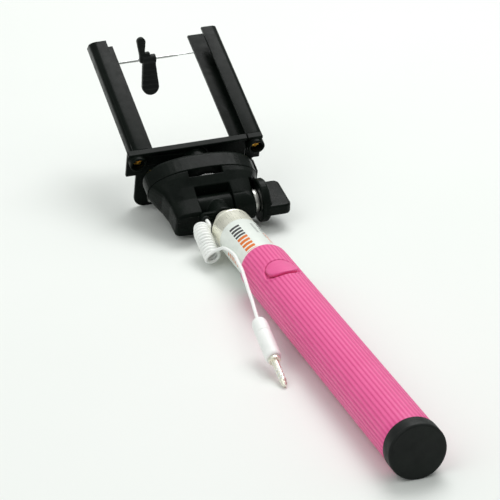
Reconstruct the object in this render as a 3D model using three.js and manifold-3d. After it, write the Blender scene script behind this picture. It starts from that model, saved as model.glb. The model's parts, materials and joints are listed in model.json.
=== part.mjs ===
// A wired selfie stick, closed up and lying on a table: a ribbed rubber grip on a telescope of
// steel tubes, a tilting head with a thumb knob, and a spring phone clamp on a 1/4 inch screw.
// Millimetres, +Z up. The stick lies along Y with its cap at the -Y end. The origin is the point
// of the table under the middle of the object, its loose lead left out.
import * as THREE from 'three';
import { mergeVertices } from 'three/addons/utils/BufferGeometryUtils.js';
import Module from 'manifold-3d';

const wasm = await Module();
wasm.setup();

// ---- Driving dimensions ----
const AXIS_HEIGHT = 13.7; // the stick's axis above the table
const ROUND = 28; // sides of a round piece
const SMALL_ROUND = 16; // sides of a small round piece
const GAP = 0.3; // clearance between pieces that only touch

const CAP_RADIUS = 14;
const CAP_DEPTH = 8.5;
const GRIP_RADIUS = 13.5;
const GRIP_BORE = 11.4;
const GRIP_END = 222.5;

const TUBE_COUNT = 6;
const TUBE_RADIUS = 11.3; // outer tube
const TUBE_STEP = 1.4; // each inner tube is this much smaller in radius
const TUBE_WALL = 0.35;
const TUBE_LIP = 0.5; // how far a tube's rolled mouth closes in
const OUTER_TUBE_END = 280;
const MOUTH_STEP = 3.2; // each inner tube stands out of the last by this much
const BUSH_LENGTH = 8; // friction bush behind a mouth
const GUIDE_LENGTH = 10; // guide on the tail of an inner tube
const TUBE_TRAVEL = 165;
const RUNNING = 0.05; // radial running clearance

const LABEL_START = 223;
const LABEL_END = 264;

const BUTTON_X = -0.7; // middle of the shutter button
const BUTTON_Y = 191.6;
const BUTTON_LENGTH = 17.6;
const BUTTON_WIDTH = 15.4;
const BUTTON_RADIUS = 14.4; // top of the button, from the stick's axis

const HINGE_Y = 312; // tilt axis, from the cap's face
const TILT = THREE.MathUtils.degToRad(24.5);
const BARREL_RADIUS = 7.6;
const BARREL_LEFT = -10.2;
const BARREL_RIGHT = 9.2;
const NECK_RADIUS = 6.4;
const NECK_START = 294.2;
const BOLT_RADIUS = 2.5;
const BOLT_START = -14.2;

const SLOT_LEFT = BARREL_LEFT - GAP; // gap between the head's ears
const SLOT_RIGHT = BARREL_RIGHT + GAP;
const EAR_BACK = -11;
const EAR_ROUND = 9.2;
const EAR_RIGHT = 21.4;
const SEAM = 17.2; // far face of the head's lower part
const PLATFORM_START = 17.5;
const PLATFORM_END = 29.5;
const PLATFORM_HALF_WIDTH = 31.5;
const PLATFORM_HALF_HEIGHT = 14.5;
const SHELL_X = -1.8; // middle of the head's shell and platform
const WHEEL_RADIUS = 10.4;
const WHEEL_START = 13.3;
const WHEEL_END = 16.9;
const SCREW_RADIUS = 3.1; // quarter inch tripod thread

const KNOB_FACE = 24.4; // inner face of the knob's flange
const KNOB_RADIUS = 12.2;
const KNOB_END = 40.4;
const WING_REACH = 13;
const WING_TURN = THREE.MathUtils.degToRad(-13); // how the knob's wing stands at rest

const HUB_START = 29.8;
const HUB_RADIUS = 8;
const SEAT_BACK = 38; // near side of the clamp's cross wall
const SEAT_FACE = 42; // far side, which the phone's edge rests on
const SEAT_HALF = 30; // half the fixed cross wall's length
const CLAMP_X = 1.9; // middle between the rails
const RAIL_OUTER = 38.2; // rail's back, from that middle
const UPPER_LIP = 28.6;
const LOWER_LIP = 22.7;
const RAIL_TOP = 10;
const RAIL_BOTTOM = -2.2;
const RAIL_WALL = 2;
const RAIL_START = SEAT_FACE + GAP;
const UPPER_LIP_END = 132;
const LOWER_LIP_END = 138.2;
const EYE_LEFT = -33.4; // middles of the rail screws
const EYE_RIGHT = 34.9;
const EYE_W = 4.4;
const EYE_START = 35.6;
const EYE_RADIUS = 4.9;
const WALL_END = 38.9;
const SKIRT_HALF = 33;
const ROD_HEIGHTS = [-14.5, -22.5]; // the clamp's two guide rods
const ROD_U = 35.4;
const WIRE_U = 123.5; // crossing wire, let into the rails' lower lips
const WIRE_W = RAIL_BOTTOM + RAIL_WALL / 2;
const WIRE_HOLD = 35; // how far it reaches into a lip, from the middle between the rails
const TUBE_OF_WIRE = 0.75; // radius of the tube that the wire slides in
const WIRE_RADIUS = 0.42;
const TAB_X = -6.2;

const LEAD_RADIUS = 1;
const COIL_RADIUS = 4.6;

// Middle of the object, its lead left out, from the stick's axis and from the cap's face
const ORIGIN_X = (KNOB_END - WALL_END) / 2;
const ORIGIN_Y = (HINGE_Y + LOWER_LIP_END * Math.cos(TILT) - RAIL_BOTTOM * Math.sin(TILT)) / 2;

// ---- Materials ----
function material(color, roughness, metalness) {
  return new THREE.MeshStandardMaterial({ color, roughness, metalness });
}
const pinkRubber = material(0xe8559b, 0.62, 0);
const blackRubber = material(0x17191a, 0.7, 0);
const blackPlastic = material(0x1b1d1c, 0.42, 0);
const greyPlastic = material(0x3a3c3d, 0.5, 0);
const steel = material(0xd2d0c6, 0.22, 1);
const brass = material(0xb98a2e, 0.35, 1);
const labelFilm = material(0xf4f4f0, 0.35, 0);
const whiteRubber = material(0xf2f2f0, 0.5, 0);
const circuitFilm = material(0x9a6a2c, 0.5, 0);

// ---- Solids ----
function outward(geometry) {
  const clean = geometry.clone();
  clean.deleteAttribute('normal');
  clean.deleteAttribute('uv');
  const merged = mergeVertices(clean, 1e-4);
  const index = merged.index.array;
  const place = merged.attributes.position;
  const a = new THREE.Vector3();
  const b = new THREE.Vector3();
  const c = new THREE.Vector3();
  const faces = [];
  let volume = 0;
  for (let i = 0; i < index.length; i += 3) {
    const [p, q, r] = [index[i], index[i + 1], index[i + 2]];
    if (p === q || q === r || r === p) continue;
    faces.push(p, q, r);
    volume += a.fromBufferAttribute(place, p).dot(
      b.fromBufferAttribute(place, q).cross(c.fromBufferAttribute(place, r)),
    );
  }
  if (volume < 0) {
    faces.reverse();
  }
  merged.setIndex(faces);
  return merged;
}

function toSolid(geometry) {
  const closed = outward(geometry);
  return new wasm.Manifold(new wasm.Mesh({
    numProp: 3,
    vertProperties: new Float32Array(closed.attributes.position.array),
    triVerts: new Uint32Array(closed.index.array),
  }));
}

function toGeometry(solid) {
  const mesh = solid.getMesh();
  const geometry = new THREE.BufferGeometry();
  geometry.setAttribute('position', new THREE.BufferAttribute(new Float32Array(mesh.vertProperties), 3));
  geometry.setIndex(new THREE.BufferAttribute(new Uint32Array(mesh.triVerts), 1));
  return geometry;
}

function cut(geometry, ...tools) {
  let solid = toSolid(geometry);
  for (const tool of tools) {
    solid = solid.subtract(toSolid(tool));
  }
  return toGeometry(solid);
}

function join(geometry, ...others) {
  let solid = toSolid(geometry);
  for (const other of others) {
    solid = solid.add(toSolid(other));
  }
  return toGeometry(solid);
}

function common(geometry, other) {
  return toGeometry(toSolid(geometry).intersect(toSolid(other)));
}

// A solid turned about Y from [radius, y] corners; a profile off the axis closes on itself.
function turned(corners, sides = ROUND) {
  const points = corners.map(([radius, y]) => new THREE.Vector2(radius, y));
  const onAxis = corners[0][0] === 0 && corners[corners.length - 1][0] === 0;
  if (!onAxis) {
    points.push(points[0].clone());
  }
  return outward(new THREE.LatheGeometry(points, sides));
}

function rod(radius, start, end, sides = SMALL_ROUND) {
  return turned([[0, start], [radius, start], [radius, end], [0, end]], sides);
}

function sleeve(inner, outer, start, end, sides = ROUND) {
  return turned([[inner, start], [outer, start], [outer, end], [inner, end]], sides);
}

// A solid turned about X instead of Y, its profile given along +X.
function alongX(geometry) {
  return geometry.clone().rotateZ(-Math.PI / 2);
}

function block(x0, x1, y0, y1, z0, z1) {
  const geometry = new THREE.BoxGeometry(x1 - x0, y1 - y0, z1 - z0);
  return geometry.translate((x0 + x1) / 2, (y0 + y1) / 2, (z0 + z1) / 2);
}

// A flat outline in X and Z, given a thickness along Y from y0 to y1.
function wall(shape, y0, y1, curveSegments = 6) {
  const geometry = new THREE.ExtrudeGeometry(shape, { depth: y1 - y0, bevelEnabled: false, curveSegments });
  return geometry.rotateX(Math.PI / 2).translate(0, y1, 0);
}

function roundedRectangle(x0, x1, y0, y1, radius) {
  const shape = new THREE.Shape();
  shape.moveTo(x0 + radius, y0);
  shape.lineTo(x1 - radius, y0);
  shape.absarc(x1 - radius, y0 + radius, radius, -Math.PI / 2, 0, false);
  shape.lineTo(x1, y1 - radius);
  shape.absarc(x1 - radius, y1 - radius, radius, 0, Math.PI / 2, false);
  shape.lineTo(x0 + radius, y1);
  shape.absarc(x0 + radius, y1 - radius, radius, Math.PI / 2, Math.PI, false);
  shape.lineTo(x0, y0 + radius);
  shape.absarc(x0 + radius, y0 + radius, radius, Math.PI, Math.PI * 1.5, false);
  return shape;
}

// ---- Groups ----
const selfieStick = new THREE.Group();
selfieStick.position.set(-ORIGIN_X, -ORIGIN_Y, 0);
const stick = new THREE.Group();
stick.position.z = AXIS_HEIGHT;
const head = new THREE.Group();
head.position.y = HINGE_Y;
head.rotation.x = TILT;
stick.add(head);
const lead = new THREE.Group();
selfieStick.add(stick, lead);

function place(group, name, geometry, finish) {
  const mesh = new THREE.Mesh(geometry, finish);
  mesh.name = name;
  group.add(mesh);
  return mesh;
}

// ---- Handle ----
function endCap() {
  const cap = turned([
    [0, 0], [12.9, 0], [13.6, 0.3], [CAP_RADIUS, 1], [CAP_RADIUS, CAP_DEPTH],
    [10.85, CAP_DEPTH], [10.85, 20], [9.2, 20], [9.2, 10], [0, 10],
  ], 36);
  return cut(cap, block(-10, 10, -1, CAP_DEPTH + 1, -20, -AXIS_HEIGHT));
}

function buttonPocket(clearance) {
  const halfWidth = BUTTON_WIDTH / 2 + clearance;
  const halfLength = BUTTON_LENGTH / 2 + clearance;
  const outline = roundedRectangle(-halfWidth, halfWidth, -halfLength, halfLength, halfWidth - 1);
  const geometry = new THREE.ExtrudeGeometry(outline, { depth: 20, bevelEnabled: false, curveSegments: 6 });
  return geometry.translate(BUTTON_X, BUTTON_Y, 0);
}

function gripSleeve() {
  const start = CAP_DEPTH + GAP;
  const body = turned([
    [GRIP_BORE, start], [GRIP_RADIUS, start], [GRIP_RADIUS, GRIP_END - 0.8],
    [GRIP_RADIUS - 0.7, GRIP_END], [GRIP_BORE, GRIP_END],
  ], 40);
  const stripGroove = block(-3.4, 3.4, 12, BUTTON_Y + 4, 10, TUBE_RADIUS + 0.75);
  return cut(body, buttonPocket(GAP), stripGroove);
}

function shutterButton() {
  const shell = sleeve(TUBE_RADIUS + 1.4, BUTTON_RADIUS, BUTTON_Y - 20, BUTTON_Y + 20, 48);
  return common(shell, buttonPocket(0));
}

place(stick, 'end_cap', endCap(), blackRubber);
place(stick, 'grip_sleeve', gripSleeve(), pinkRubber);
place(stick, 'shutter_button', shutterButton(), pinkRubber);
const stripBack = TUBE_RADIUS + 0.08;
const dome = rod(2, 0, 0.25, 12).rotateX(Math.PI / 2).translate(0, BUTTON_Y, stripBack + 0.25);
place(stick, 'switch_strip', block(-3, 3, 14, BUTTON_Y + 3.5, stripBack, stripBack + 0.2), circuitFilm);
place(stick, 'switch_dome', dome, steel);
place(stick, 'tube_label', sleeve(TUBE_RADIUS + 0.06, TUBE_RADIUS + 0.26, LABEL_START, LABEL_END), labelFilm);

// ---- Telescope ----
function tubeEnd(number) {
  return OUTER_TUBE_END + MOUTH_STEP * (number - 1);
}

function tubeRadius(number) {
  return TUBE_RADIUS - TUBE_STEP * (number - 1);
}

function tubeStart(number) {
  if (number === 1) return CAP_DEPTH + GAP;
  const roomForBushes = 2 + BUSH_LENGTH + GUIDE_LENGTH + GAP;
  return tubeEnd(number - 1) - roomForBushes - TUBE_TRAVEL;
}

function lippedTube(number) {
  const outer = tubeRadius(number);
  const inner = outer - TUBE_WALL;
  const end = tubeEnd(number);
  const start = tubeStart(number);
  return turned([
    [inner, start], [outer, start], [outer, end - 0.8], [outer - 0.35, end],
    [inner - TUBE_LIP, end], [inner - TUBE_LIP, end - 0.7], [inner, end - 1.4],
  ]);
}

function plainTube(number, end) {
  const outer = tubeRadius(number);
  return sleeve(outer - TUBE_WALL, outer, tubeStart(number), end);
}

for (let number = 1; number <= TUBE_COUNT; number += 1) {
  const last = number === TUBE_COUNT;
  const name = number === 1 ? 'outer_tube' : `tube_${number}`;
  place(stick, name, last ? plainTube(number, 303) : lippedTube(number), steel);
  if (number > 1) {
    const inner = tubeRadius(number) + RUNNING;
    const outer = tubeRadius(number - 1) - TUBE_WALL - RUNNING;
    const start = tubeStart(number);
    place(stick, `tail_guide_${number}`, sleeve(inner, outer, start, start + GUIDE_LENGTH), greyPlastic);
    const mouth = tubeEnd(number - 1) - 2;
    place(stick, `mouth_bush_${number - 1}`, sleeve(inner, outer, mouth - BUSH_LENGTH, mouth), greyPlastic);
  }
}

// ---- Neck and its barrel ----
function neckBarrel() {
  const collar = turned([
    [0, NECK_START], [NECK_RADIUS - 0.5, NECK_START], [NECK_RADIUS, NECK_START + 0.8],
    [NECK_RADIUS, HINGE_Y], [0, HINGE_Y],
  ]);
  const barrel = alongX(rod(BARREL_RADIUS, BARREL_LEFT, BARREL_RIGHT, 36)).translate(0, HINGE_Y, 0);
  const bore = alongX(rod(BOLT_RADIUS + RUNNING, -12, 12, ROUND)).translate(0, HINGE_Y, 0);
  const boss = wall(roundedRectangle(-12.8, 0, -1.4, 4.6, 2.8), NECK_START, NECK_START + 2.7, 4);
  const socket = rod(tubeRadius(TUBE_COUNT) + RUNNING, NECK_START - 1, 303.3, ROUND);
  return cut(join(collar, barrel, boss), bore, socket);
}

place(stick, 'neck_barrel', neckBarrel(), blackPlastic);
place(stick, 'inner_lead', rod(3.4, tubeStart(TUBE_COUNT) + 4, 302, 12), whiteRubber);

// ---- Head: a clevis with its seam against an oval platform. Y is the head's own axis. ----
function ovalPoint(angle, halfWidth, halfHeight, power) {
  const cosine = Math.cos(angle);
  const sine = Math.sin(angle);
  const x = Math.sign(cosine) * Math.abs(cosine) ** (2 / power) * halfWidth;
  const z = Math.sign(sine) * Math.abs(sine) ** (2 / power) * halfHeight;
  return [x, z];
}

// Oval sections joined from end to end: each is [y, half width, half height, power].
function lofted(sections, sides) {
  const positions = [];
  const index = [];
  for (const [y, halfWidth, halfHeight, power] of sections) {
    for (let side = 0; side < sides; side += 1) {
      const [x, z] = ovalPoint((side + 0.5) / sides * Math.PI * 2, halfWidth, halfHeight, power);
      positions.push(x, y, z);
    }
  }
  for (let ring = 0; ring < sections.length - 1; ring += 1) {
    for (let side = 0; side < sides; side += 1) {
      const next = (side + 1) % sides;
      const [a, b] = [ring * sides + side, ring * sides + next];
      index.push(a, b, a + sides, b, b + sides, a + sides);
    }
  }
  const top = (sections.length - 1) * sides;
  for (let side = 1; side < sides - 1; side += 1) {
    index.push(0, side + 1, side, top, top + side, top + side + 1);
  }
  const geometry = new THREE.BufferGeometry();
  geometry.setAttribute('position', new THREE.Float32BufferAttribute(positions, 3));
  geometry.setIndex(index);
  return outward(geometry);
}

function headBody() {
  const body = lofted([
    [EAR_BACK, 22.6, 7.4, 7], [EAR_BACK + 1.2, 23.3, 8.6, 7], [0, 24, 9.6, 6],
    [8, 26, 11.4, 4.5], [14, 29.4, 13.4, 3], [SEAM, 31.2, 14.3, 2.4],
  ], 48).translate(SHELL_X, 0, 0);
  const roundEarWaste = cut(
    block(SLOT_RIGHT, 40, -20, 0, -20, 20),
    alongX(rod(EAR_ROUND, 0, 50, 40)),
  );
  const window = [SHELL_X - 9.6, SHELL_X + 9.6, WHEEL_START - GAP, 20, -20, 20];
  return cut(
    body,
    roundEarWaste,
    block(SLOT_LEFT, SLOT_RIGHT, -20, NECK_RADIUS + 0.5, -20, 20),
    alongX(rod(BARREL_RADIUS + GAP, SLOT_LEFT, SLOT_RIGHT, 36)),
    alongX(rod(BOLT_RADIUS + RUNNING, BOLT_START, 40, ROUND)),
    alongX(rod(4.2, BOLT_START - 0.2, SLOT_LEFT, 6)),
    rod(WHEEL_RADIUS + 0.5, WHEEL_START - GAP, 20, ROUND),
    block(...window),
    block(EAR_RIGHT, 40, -20, 9.6, -14, 14),
    alongX(rod(WING_REACH + 0.6, KNOB_FACE - GAP, 40, ROUND)),
  );
}

function platform() {
  const body = lofted([
    [PLATFORM_START, PLATFORM_HALF_WIDTH, PLATFORM_HALF_HEIGHT, 2.3],
    [PLATFORM_END - 2.6, PLATFORM_HALF_WIDTH, PLATFORM_HALF_HEIGHT, 2.3],
    [PLATFORM_END - 0.8, PLATFORM_HALF_WIDTH - 0.8, PLATFORM_HALF_HEIGHT - 0.8, 2.3],
    [PLATFORM_END, PLATFORM_HALF_WIDTH - 2.4, PLATFORM_HALF_HEIGHT - 2.4, 2.3],
  ], 48).translate(SHELL_X, 0, 0);
  return cut(body, rod(SCREW_RADIUS + 0.3, 0, 40, SMALL_ROUND));
}

// A flat round nut with finger notches around its rim.
function thumbWheel() {
  const shape = new THREE.Shape();
  const notches = 30;
  for (let step = 0; step < notches * 2; step += 1) {
    const radius = step % 2 ? WHEEL_RADIUS : WHEEL_RADIUS - 0.5;
    const angle = step / notches * Math.PI;
    shape[step ? 'lineTo' : 'moveTo'](Math.cos(angle) * radius, Math.sin(angle) * radius);
  }
  return cut(wall(shape, WHEEL_START, WHEEL_END), rod(SCREW_RADIUS + RUNNING, 0, 40, ROUND));
}

function clampScrew() {
  return turned([
    [0, WHEEL_START - 0.1], [SCREW_RADIUS, WHEEL_START - 0.1], [SCREW_RADIUS, 36.2],
    [SCREW_RADIUS - 0.6, 36.8], [0, 36.8],
  ]);
}

place(head, 'head_body', headBody(), blackPlastic);
place(head, 'head_platform', platform(), blackPlastic);
place(head, 'thumb_wheel', thumbWheel(), steel);
place(head, 'clamp_screw', clampScrew(), steel);

// ---- Hinge bolt, nut and thumb knob, along X ----
function hingeBolt() {
  return alongX(turned([
    [0, BOLT_START], [BOLT_RADIUS, BOLT_START], [BOLT_RADIUS, KNOB_FACE + 4], [0, KNOB_FACE + 4],
  ]));
}

function hingeNut() {
  const nut = alongX(rod(4, BOLT_START, SLOT_LEFT - GAP, 6));
  return cut(nut, alongX(rod(BOLT_RADIUS + RUNNING, -40, 0, ROUND)));
}

function knob() {
  const flange = alongX(turned([
    [0, KNOB_FACE], [KNOB_RADIUS - 0.6, KNOB_FACE], [KNOB_RADIUS, KNOB_FACE + 0.6],
    [KNOB_RADIUS, KNOB_FACE + 3.8], [KNOB_RADIUS - 1, KNOB_FACE + 5], [0, KNOB_FACE + 5],
  ], 36));
  const outline = roundedRectangle(KNOB_FACE + 1, KNOB_END, -WING_REACH, WING_REACH, 3.4);
  const wing = new THREE.ExtrudeGeometry(outline, {
    depth: 4.4, bevelEnabled: true, bevelThickness: 1, bevelSize: 1, bevelOffset: -1,
    bevelSegments: 2, curveSegments: 4,
  });
  wing.translate(0, 0, -2.2);
  const bore = alongX(rod(4.1, 20, KNOB_FACE + 4.4, ROUND));
  return cut(join(flange, wing), bore).rotateX(WING_TURN);
}

place(head, 'hinge_bolt', hingeBolt(), steel);
place(head, 'hinge_nut', hingeNut(), steel);
place(head, 'knob_washer', alongX(sleeve(BOLT_RADIUS + RUNNING, 6.5, EAR_RIGHT + GAP, KNOB_FACE - GAP, 24)), steel);
place(head, 'tilt_knob', knob(), blackPlastic);
place(head, 'knob_insert', alongX(sleeve(BOLT_RADIUS + RUNNING, 4, KNOB_FACE + 0.2, KNOB_FACE + 4.2)), brass);

// ---- Phone clamp: a fixed base with the left rail, and a sprung jaw with the right one ----
const skirtBottom = -(AXIS_HEIGHT + (SEAT_BACK + 2) * Math.sin(TILT)) / Math.cos(TILT);

function crossWall(x0, x1) {
  const web = block(x0, x1, SEAT_BACK + 2, SEAT_FACE, -8, RAIL_TOP + 0.2);
  const topRim = block(x0, x1, SEAT_BACK, SEAT_FACE, RAIL_TOP - 1.6, RAIL_TOP + 0.2);
  return join(web, topRim);
}

function atEye(side, geometry) {
  return geometry.translate(side < 0 ? EYE_LEFT : EYE_RIGHT, 0, EYE_W);
}

function screwEye(side) {
  return atEye(side, rod(EYE_RADIUS, EYE_START, SEAT_FACE, 24));
}

function eyeHoles(side) {
  const recess = rod(3.6, 20, SEAT_BACK + 2.3, SMALL_ROUND);
  const shank = rod(1.25, 30, RAIL_START + 5.4, 12);
  return [atEye(side, recess), atEye(side, shank)];
}

function rodBores(radius) {
  return ROD_HEIGHTS.map((height) => alongX(rod(radius, -40, 40, 16)).translate(0, ROD_U, height));
}

function clampBase() {
  const skirt = wall(roundedRectangle(-SKIRT_HALF, SEAT_HALF, skirtBottom, 0, 7), SEAT_BACK + 2, SEAT_FACE);
  const hub = rod(HUB_RADIUS, HUB_START, SEAT_BACK + 2.5, ROUND);
  const tongue = new THREE.Shape();
  tongue.moveTo(EYE_LEFT, EYE_W - EYE_RADIUS + 1);
  tongue.lineTo(-5, 0.5);
  tongue.lineTo(-5, 5.5);
  tongue.lineTo(EYE_LEFT, EYE_W + EYE_RADIUS - 1);
  const rib = wall(tongue, SEAT_BACK, SEAT_BACK + 2.5);
  const lug = block(22, 29, ROD_U - 4, SEAT_BACK + 2.5, ROD_HEIGHTS[1] - 4, ROD_HEIGHTS[0] + 4);
  return cut(
    join(crossWall(-WALL_END, SEAT_HALF), skirt, screwEye(-1), hub, rib, lug),
    ...eyeHoles(-1),
    rod(5.1, 0, 39.2, ROUND),
    ...rodBores(1.35),
  );
}

function jawBlock() {
  const plate = block(SEAT_HALF + GAP, EYE_RIGHT, SEAT_BACK + 2, SEAT_FACE, -27, 0);
  const lug = block(SEAT_HALF + GAP, 36.2, ROD_U - 3, SEAT_FACE, ROD_HEIGHTS[1] - 3.4, ROD_HEIGHTS[0] + 3.4);
  return cut(
    join(crossWall(SEAT_HALF + GAP, WALL_END), screwEye(1), plate, lug),
    ...eyeHoles(1),
    ...rodBores(1.35),
  );
}

// The right rail's section, its back towards +X from the middle between the rails.
function railSection() {
  const corner = 4;
  const back = RAIL_OUTER - corner;
  const shape = new THREE.Shape();
  shape.moveTo(LOWER_LIP, RAIL_BOTTOM);
  shape.lineTo(back, RAIL_BOTTOM);
  shape.absarc(back, RAIL_BOTTOM + corner, corner, -Math.PI / 2, 0, false);
  shape.absarc(back, RAIL_TOP - corner, corner, 0, Math.PI / 2, false);
  shape.lineTo(UPPER_LIP, RAIL_TOP);
  shape.lineTo(UPPER_LIP, RAIL_TOP - RAIL_WALL);
  shape.lineTo(RAIL_OUTER - RAIL_WALL, RAIL_TOP - RAIL_WALL);
  shape.lineTo(RAIL_OUTER - RAIL_WALL, RAIL_BOTTOM + RAIL_WALL);
  shape.lineTo(LOWER_LIP, RAIL_BOTTOM + RAIL_WALL);
  return shape;
}

// A plate in the Y and Z plane, given a thickness along X.
function sidePlate(shape, x0, x1) {
  const geometry = new THREE.ExtrudeGeometry(shape, { depth: x1 - x0, bevelEnabled: false });
  const turn = new THREE.Matrix4().makeBasis(
    new THREE.Vector3(0, 1, 0), new THREE.Vector3(0, 0, 1), new THREE.Vector3(1, 0, 0),
  );
  return geometry.applyMatrix4(turn).translate(x0, 0, 0);
}

function clampRail(side) {
  const channel = wall(railSection(), RAIL_START, LOWER_LIP_END, 5);
  const endBlock = block(UPPER_LIP + 1, RAIL_OUTER - 1, RAIL_START, RAIL_START + 6, RAIL_BOTTOM + 1, RAIL_TOP - 1);
  const slant = new THREE.Shape();
  slant.moveTo(UPPER_LIP_END, RAIL_TOP + 0.1);
  slant.lineTo(LOWER_LIP_END + 0.1, RAIL_BOTTOM - 0.1);
  slant.lineTo(LOWER_LIP_END + 9, RAIL_BOTTOM - 9);
  slant.lineTo(LOWER_LIP_END + 9, RAIL_TOP + 9);
  slant.lineTo(UPPER_LIP_END, RAIL_TOP + 9);
  const rail = join(channel, endBlock);
  if (side < 0) {
    rail.scale(-1, 1, 1);
  }
  rail.translate(CLAMP_X, 0, 0);
  const wireHole = alongX(side < 0
    ? rod(TUBE_OF_WIRE + RUNNING, CLAMP_X - WIRE_HOLD, 0, 12)
    : rod(WIRE_RADIUS + RUNNING, 0, CLAMP_X + WIRE_HOLD, 12)).translate(0, WIRE_U, WIRE_W);
  return cut(rail, sidePlate(slant, -50, 50), eyeHoles(side)[1], wireHole);
}

function railScrew(side) {
  const screw = turned([
    [0, SEAT_BACK + 0.8], [2.6, SEAT_BACK + 0.8], [3.2, SEAT_BACK + 1.3], [3.2, SEAT_BACK + 2],
    [1.2, SEAT_BACK + 2], [1.2, RAIL_START + 4.6], [0, RAIL_START + 5.2],
  ], SMALL_ROUND);
  const slotA = block(-1.7, 1.7, SEAT_BACK, SEAT_BACK + 1.4, -0.3, 0.3);
  const slotB = block(-0.3, 0.3, SEAT_BACK, SEAT_BACK + 1.4, -1.7, 1.7);
  return atEye(side, cut(screw, slotA, slotB));
}

function railPad(side) {
  const back = RAIL_OUTER - RAIL_WALL - 0.1;
  const pad = block(back - 2.6, back, RAIL_START + 6.4, 115.5, 0, RAIL_TOP - RAIL_WALL - 0.2);
  return pad.translate(side < 0 ? CLAMP_X - back * 2 + 2.6 : CLAMP_X, 0, 0);
}

function guideRod(height) {
  return alongX(turned([
    [0, -26.6], [2, -26.6], [2.4, -26.2], [2.4, -24.6], [1.3, -24.6], [1.3, 36], [0, 36],
  ], 16)).translate(0, ROD_U, height);
}

// A close helix of wire about a guide rod.
class SpringLine extends THREE.Curve {
  constructor(start, end, radius, turns) {
    super();
    Object.assign(this, { start, end, radius, turns });
  }

  getPoint(t, target = new THREE.Vector3()) {
    const angle = t * this.turns * Math.PI * 2;
    const x = this.start + (this.end - this.start) * t;
    return target.set(x, Math.cos(angle) * this.radius, Math.sin(angle) * this.radius);
  }
}

function circle(radius, sides) {
  const shape = new THREE.Shape();
  for (let side = 0; side < sides; side += 1) {
    const angle = side / sides * Math.PI * 2;
    shape[side ? 'lineTo' : 'moveTo'](Math.cos(angle) * radius, Math.sin(angle) * radius);
  }
  return shape;
}

function tubeAlong(curve, radius, steps, sides) {
  const geometry = new THREE.ExtrudeGeometry(circle(radius, sides), { steps, extrudePath: curve, bevelEnabled: false });
  return outward(geometry);
}

function clampSpring(height) {
  const turns = 10;
  return tubeAlong(new SpringLine(-24, 21.4, 2.1, turns), 0.32, turns * 7, 4).translate(0, ROD_U, height);
}

place(head, 'clamp_base', clampBase(), blackPlastic);
place(head, 'clamp_insert', sleeve(SCREW_RADIUS + RUNNING, 5, HUB_START + 0.4, 39), brass);
place(head, 'jaw_block', jawBlock(), blackPlastic);
for (const [name, side] of [['left', -1], ['right', 1]]) {
  place(head, `${name}_rail`, clampRail(side), blackPlastic);
  place(head, `${name}_rail_screw`, railScrew(side), brass);
  place(head, `${name}_rail_pad`, railPad(side), blackRubber);
}
for (const [name, height] of [['upper', ROD_HEIGHTS[0]], ['lower', ROD_HEIGHTS[1]]]) {
  place(head, `${name}_guide_rod`, guideRod(height), steel);
  place(head, `${name}_clamp_spring`, clampSpring(height), steel);
}

// ---- Crossing wire and the two-lobed tab that turns on it ----
const wire = new THREE.Group();
wire.position.set(0, WIRE_U, WIRE_W);
head.add(wire);

function lobe(centerX, halfWidth, length, side) {
  const shape = new THREE.Shape();
  const tipWidth = halfWidth + 0.5;
  shape.moveTo(centerX - halfWidth + 0.8, side * 1.6);
  shape.lineTo(centerX - tipWidth, side * (length - tipWidth));
  shape.absarc(centerX, side * (length - tipWidth), tipWidth, Math.PI, 0, side > 0);
  shape.lineTo(centerX + halfWidth - 0.8, side * 1.6);
  return wall(shape, -1.6, 1.6, 8);
}

function wireTab() {
  const hub = alongX(rod(2.7, TAB_X - 0.4, TAB_X + 7.4, SMALL_ROUND));
  const lower = lobe(TAB_X + 3.4, 4.5, 21.6, -1);
  const upper = lobe(TAB_X - 0.6, 2, 13.6, 1);
  const shoulder = block(TAB_X - 2, TAB_X + 4, -1.6, 1.6, -1.6, 4.2);
  return cut(join(hub, lower, upper, shoulder), alongX(rod(TUBE_OF_WIRE + RUNNING, -60, 60, SMALL_ROUND)));
}

place(wire, 'wire_tube', alongX(sleeve(WIRE_RADIUS + RUNNING, TUBE_OF_WIRE, CLAMP_X - WIRE_HOLD + GAP, 14.6, 16)), steel);
place(wire, 'wire_rod', alongX(rod(WIRE_RADIUS, -28, CLAMP_X + WIRE_HOLD - GAP, 12)), steel);
const tab = place(wire, 'wire_tab', wireTab(), blackRubber);
tab.rotation.x = -TILT;

// ---- Lead: a curly stretch beside the stick, a straight stretch over the grip, and a plug ----
const coilRoute = [
  [-13.3, 288.8, 14.8], [-15.2, 284.6, 14.3], [-16.5, 280, 13.2], [-16.7, 274, 11.2],
  [-16.6, 267, 8.1], [-16.1, 259.5, 4.85],
];
const tailRoute = [
  [-16.1, 258.5, 10.9], [-14.7, 258.1, 12.1], [-13.5, 255.4, 13.9], [-13.1, 251, 15.6], [-12.9, 246, 16.8],
  [-12.8, 240, 17.9], [-13.2, 231, 19], [-14.5, 222, 19.6], [-15.4, 213, 19.6], [-17.4, 201, 19.2],
  [-19.7, 188, 18.9], [-21.9, 175, 18.8], [-24, 164, 18.6], [-25.4, 155.4, 17.7],
];
const plugBack = new THREE.Vector3(-25.5, 154.9, 17.5);
const plugTip = new THREE.Vector3(-26.4, 108.6, 0.4);

function route(points) {
  return new THREE.CatmullRomCurve3(points.map((point) => new THREE.Vector3(...point)), false, 'centripetal');
}

// The plug's pieces are turned about Y, from its cable end at 0 to its tip.
const plug = new THREE.Group();
plug.position.copy(plugBack);
plug.quaternion.setFromUnitVectors(
  new THREE.Vector3(0, 1, 0), plugTip.clone().sub(plugBack).normalize(),
);
lead.add(plug);

function plugBody() {
  const body = turned([
    [0, 0], [2.2, 0], [3.4, 1.2], [4, 3.4], [4.1, 6], [4.1, 26.5], [3.8, 27.5], [3.4, 27.8], [0, 27.8],
  ], 24);
  return cut(body, rod(1.85, 27.4, 40, 16));
}

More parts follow.
